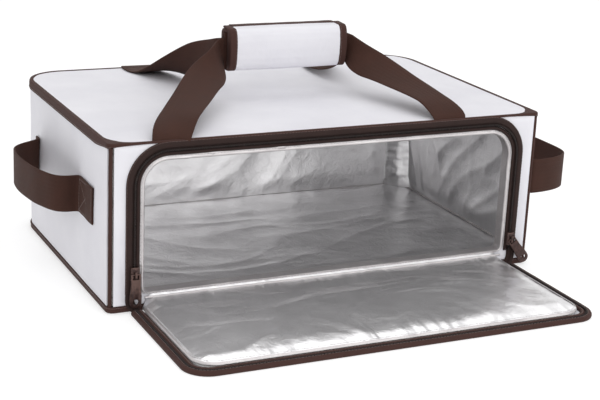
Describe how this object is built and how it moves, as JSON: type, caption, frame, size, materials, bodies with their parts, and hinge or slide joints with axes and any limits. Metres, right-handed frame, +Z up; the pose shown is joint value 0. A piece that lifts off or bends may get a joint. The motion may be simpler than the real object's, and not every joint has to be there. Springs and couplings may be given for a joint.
{
  "type": "pizza delivery bag",
  "caption": "Soft insulated carrier for flat food boxes, white with brown trim and foil lining, its zipped front door lying open, with a wrapped top grip and side handles.",
  "frame": {"origin": "middle of the underside of the bag's body, on the surface it stands on", "axes": "+X to the right seen from the open front, +Y to the back, +Z up; the open door lies towards -Y"},
  "size_m": [0.5833, 0.4872, 0.2493],
  "materials": {
    "outer_fabric": "matte",
    "brown_webbing": "matte",
    "brown_binding": "satin",
    "zip_tape": "matte",
    "zip_coil": "satin",
    "zip_metal": "satin",
    "foil_lining": "satin",
    "foam": "matte",
    "board": "matte",
    "hook_and_loop": "matte"
  },
  "bodies": {
    "bag": {"bottom_panel": "outer_fabric", "base_board": "board", "bottom_foam": "foam", "top_panel": "outer_fabric", "top_foam": "foam", "wall_panel": "outer_fabric", "left_foam": "foam", "right_foam": "foam", "back_foam": "foam", "front_border": "outer_fabric", "front_foam": "foam", "top_binding": "brown_binding", "bottom_binding": "brown_binding", "front_piping_left": "brown_binding", "front_piping_right": "brown_binding", "liner_floor": "foil_lining", "liner_ceiling": "foil_lining", "liner_left": "foil_lining", "liner_right": "foil_lining", "liner_back": "foil_lining", "liner_corner_left": "foil_lining", "liner_corner_right": "foil_lining", "liner_lip": "foil_lining", "mouth_binding": "foil_lining", "body_zip_tape": "zip_tape", "body_zip_coil": "zip_coil", "left_zip_turn": "zip_tape", "right_zip_turn": "zip_tape", "hinge_fabric": "outer_fabric", "hinge_foil": "foil_lining", "front_strap_left": "brown_webbing", "front_strap_right": "brown_webbing", "rear_strap_left": "brown_webbing", "rear_strap_right": "brown_webbing", "left_handle_front_end": "brown_webbing", "left_handle_rear_end": "brown_webbing", "right_handle_front_end": "brown_webbing", "right_handle_rear_end": "brown_webbing"},
    "door": {"door_outer_panel": "outer_fabric", "door_foam": "foam", "door_liner": "foil_lining", "door_zip_tape": "zip_tape", "door_zip_coil": "zip_coil", "door_edge_binding": "brown_binding"},
    "left_zip_slider": {"left_slider": "zip_metal"},
    "right_zip_slider": {"right_slider": "zip_metal"},
    "left_zip_pull": {"left_pull": "zip_metal"},
    "right_zip_pull": {"right_pull": "zip_metal"},
    "grip": {"front_strap_middle": "brown_webbing", "rear_strap_middle": "brown_webbing", "grip_rear_wrap": "outer_fabric", "grip_loop_strip": "hook_and_loop"},
    "grip_wrap": {"grip_front_wrap": "outer_fabric", "grip_edge_binding": "brown_binding", "grip_left_binding": "brown_binding", "grip_right_binding": "brown_binding", "grip_hook_strip": "hook_and_loop"},
    "left_handle": {"left_handle_loop": "brown_webbing"},
    "right_handle": {"right_handle_loop": "brown_webbing"}
  },
  "joints": [
    {"name": "door_hinge", "type": "hinge", "parent": "bag", "child": "door", "pos_m": [0, -0.1675, 0.006], "axis": [-1, 0, 0], "range_deg": [0, 90], "deforming": ["hinge_fabric", "hinge_foil", "left_zip_turn", "right_zip_turn"]},
    {"name": "left_slider_travel", "type": "slide", "parent": "bag", "child": "left_zip_slider", "axis": [0, 0, 1], "range_m": [0, 0.078]},
    {"name": "right_slider_travel", "type": "slide", "parent": "bag", "child": "right_zip_slider", "axis": [0, 0, 1], "range_m": [0, 0.086]},
    {"name": "left_pull_swing", "type": "hinge", "parent": "left_zip_slider", "child": "left_zip_pull", "pos_m": [-0.2145, -0.165, 0.04], "axis": [1, 0, 0], "range_deg": [-175, 0]},
    {"name": "right_pull_swing", "type": "hinge", "parent": "right_zip_slider", "child": "right_zip_pull", "pos_m": [0.2145, -0.165, 0.032], "axis": [0.788, 0, 0.6157], "range_deg": [-175, 0]},
    {"name": "grip_lift", "type": "slide", "parent": "bag", "child": "grip", "axis": [0, 0, 1], "range_m": [-0.028, 0.045], "deforming": ["front_strap_left", "front_strap_right", "rear_strap_left", "rear_strap_right"]},
    {"name": "grip_wrap_opening", "type": "hinge", "parent": "grip", "child": "grip_wrap", "pos_m": [0, -0.0245, 0.2031], "axis": [1, 0, 0], "range_deg": [0, 95]},
    {"name": "left_handle_tilt", "type": "hinge", "parent": "bag", "child": "left_handle", "pos_m": [-0.2415, 0, 0.097], "axis": [0, 1, 0], "range_deg": [-40, 42], "deforming": ["left_handle_front_end", "left_handle_rear_end"]},
    {"name": "right_handle_tilt", "type": "hinge", "parent": "bag", "child": "right_handle", "pos_m": [0.2415, 0, 0.097], "axis": [0, -1, 0], "range_deg": [-40, 42], "deforming": ["right_handle_front_end", "right_handle_rear_end"]}
  ]
}
